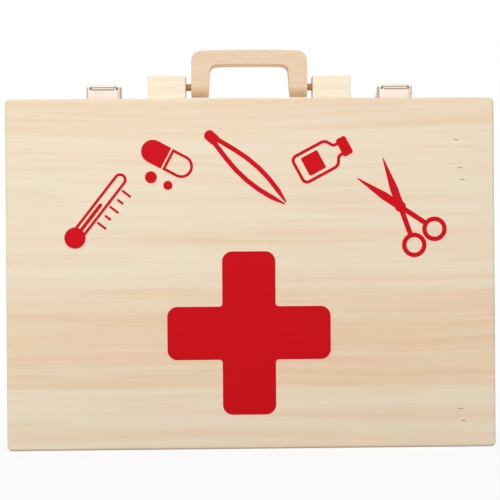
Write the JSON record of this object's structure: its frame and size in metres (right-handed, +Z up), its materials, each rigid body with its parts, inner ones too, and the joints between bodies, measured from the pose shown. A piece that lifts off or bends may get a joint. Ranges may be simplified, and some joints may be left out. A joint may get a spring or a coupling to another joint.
{
  "type": "toy doctor case",
  "caption": "Wooden toy case in two hinged halves, with a turning U-shaped wooden handle between two blocks and metal draw latches on top",
  "frame": {"origin": "centre of the bottom of the case as it stands upright", "axes": "+Z up, -Y towards the front face, +X to the right seen from the front"},
  "size_m": [0.34, 0.08, 0.283],
  "materials": {
    "pine": "sanded pale softwood with a clear matt coat",
    "beech": "sanded beech, clear matt coat",
    "maple": "sanded very pale hardwood, clear matt coat",
    "dowel_beech": "turned beech dowel",
    "nickel": "nickel plated pressed sheet, satin",
    "screw_steel": "zinc plated steel"
  },
  "bodies": {
    "case_body": {"back_panel": "pine", "body_top_board": "pine", "body_bottom_board": "pine", "body_left_board": "pine", "body_right_board": "pine", "handle_block_left": "maple", "handle_block_right": "maple", "handle_dowel_left": "dowel_beech", "handle_dowel_right": "dowel_beech", "block_screws": "screw_steel", "latch_base_left": "nickel", "latch_base_right": "nickel", "latch_pivot_left": "screw_steel", "latch_pivot_right": "screw_steel", "latch_screws": "screw_steel", "hinge_body_leaf_left": "nickel", "hinge_body_leaf_right": "nickel", "hinge_pin_left": "screw_steel", "hinge_pin_right": "screw_steel", "hinge_body_screws": "screw_steel"},
    "lid": {"front_panel": "pine", "lid_top_board": "pine", "lid_bottom_board": "pine", "lid_left_board": "pine", "lid_right_board": "pine", "hinge_lid_leaf_left": "nickel", "hinge_lid_leaf_right": "nickel", "hinge_lid_screws": "screw_steel", "catch_plate_left": "nickel", "catch_plate_right": "nickel", "catch_screws": "screw_steel"},
    "handle": {"carry_handle": "beech"},
    "lever_left": {"latch_lever_left": "nickel"},
    "lever_right": {"latch_lever_right": "nickel"},
    "bail_left": {"latch_bail_left": "nickel"},
    "bail_right": {"latch_bail_right": "nickel"}
  },
  "joints": [
    {"name": "lid_hinge", "type": "hinge", "parent": "case_body", "child": "lid", "pos_m": [0, -0.012, 0.0019], "axis": [1, 0, 0], "range_deg": [0, 105]},
    {"name": "handle_turn", "type": "hinge", "parent": "case_body", "child": "handle", "pos_m": [0, 0, 0.2569], "axis": [1, 0, 0], "range_deg": [-100, 100]},
    {"name": "lever_left_turn", "type": "hinge", "parent": "case_body", "child": "lever_left", "pos_m": [-0.1032, -0.003, 0.2488], "axis": [1, 0, 0], "range_deg": [0, 95]},
    {"name": "lever_right_turn", "type": "hinge", "parent": "case_body", "child": "lever_right", "pos_m": [0.1032, -0.003, 0.2488], "axis": [1, 0, 0], "range_deg": [0, 95]},
    {"name": "bail_left_swing", "type": "hinge", "parent": "lever_left", "child": "bail_left", "pos_m": [-0.1032, 0.002, 0.2472], "axis": [1, 0, 0], "range_deg": [-104.5, 0]},
    {"name": "bail_right_swing", "type": "hinge", "parent": "lever_right", "child": "bail_right", "pos_m": [0.1032, 0.002, 0.2472], "axis": [1, 0, 0], "range_deg": [-104.5, 0]}
  ],
  "couplings": [
    {"joint": "bail_left_swing", "follows": "lever_left_turn", "ratio": -1.1},
    {"joint": "bail_right_swing", "follows": "lever_right_turn", "ratio": -1.1}
  ]
}
